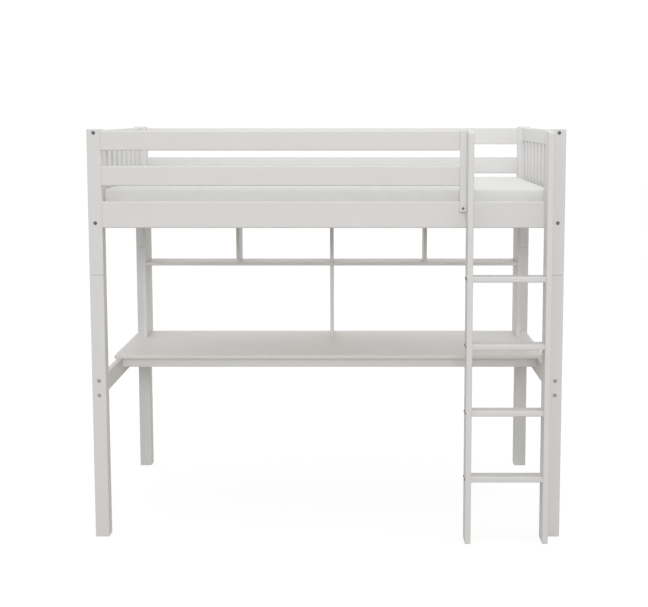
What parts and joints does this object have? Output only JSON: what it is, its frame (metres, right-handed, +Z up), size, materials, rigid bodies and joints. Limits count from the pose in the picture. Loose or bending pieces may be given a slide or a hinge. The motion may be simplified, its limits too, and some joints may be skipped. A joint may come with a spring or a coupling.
{
  "type": "loft bed",
  "caption": "White painted wooden loft bed with guard rails, an upright ladder, a wide desk with an open shelf hutch under the bed, and a loose mattress.",
  "frame": {"origin": "on the floor, in the middle of the footprint of the frame and its ladder", "axes": "+X along the bed towards the ladder's side, +Y from the front to the back, +Z up"},
  "size_m": [2.02, 1.195, 1.77],
  "materials": {
    "white_paint": "satin white paint",
    "dark_bolts": "dark grey, satin",
    "grey_bolts": "grey, satin",
    "screws": "zinc plated",
    "dowels": "bare wood",
    "mattress_cover": "white woven cover"
  },
  "bodies": {
    "frame": {"apron_screws": "screws", "barrel_nuts": "grey_bolts", "bed_slats": "white_paint", "board_dowels": "dowels", "desk_beam_bolts": "grey_bolts", "desk_beam_left": "white_paint", "desk_beam_right": "white_paint", "desk_front_apron": "white_paint", "desk_rear_apron": "white_paint", "desk_top": "white_paint", "end_panel_bolts": "dark_bolts", "guard_rail_back_lower": "white_paint", "guard_rail_back_top": "white_paint", "guard_rail_bolts": "grey_bolts", "guard_rail_front_lower": "white_paint", "guard_rail_front_top": "white_paint", "guard_rail_stile": "white_paint", "guard_stile_bolt": "dark_bolts", "guard_stile_screws": "screws", "hutch_divider_centre": "white_paint", "hutch_divider_left": "white_paint", "hutch_divider_right": "white_paint", "hutch_foot_divider": "white_paint", "hutch_panel_left": "white_paint", "hutch_panel_right": "white_paint", "hutch_screws": "screws", "hutch_shelf": "white_paint", "hutch_top": "white_paint", "ladder_bolts": "grey_bolts", "ladder_rung_1": "white_paint", "ladder_rung_2": "white_paint", "ladder_rung_3": "white_paint", "ladder_rung_4": "white_paint", "ladder_stile_left": "white_paint", "ladder_stile_right": "white_paint", "ledger_back": "white_paint", "ledger_front": "white_paint", "ledger_screws": "screws", "left_end_bottom_rail": "white_paint", "left_end_slats": "white_paint", "left_end_top_rail": "white_paint", "leg_back_left": "white_paint", "leg_back_right": "white_paint", "leg_front_left": "white_paint", "leg_front_right": "white_paint", "post_back_left": "white_paint", "post_back_right": "white_paint", "post_dowels": "dowels", "post_front_left": "white_paint", "post_front_right": "white_paint", "rail_dowels": "dowels", "right_end_bottom_rail": "white_paint", "right_end_slats": "white_paint", "right_end_top_rail": "white_paint", "rung_bolts": "dark_bolts", "side_rail_back": "white_paint", "side_rail_bolts": "grey_bolts", "side_rail_front": "white_paint", "slat_screws": "screws"},
    "mattress": {"mattress": "mattress_cover"}
  },
  "joints": [
    {"name": "mattress_lift", "type": "slide", "parent": "frame", "child": "mattress", "axis": [0, 0, 1], "range_m": [0, 0.4]}
  ]
}
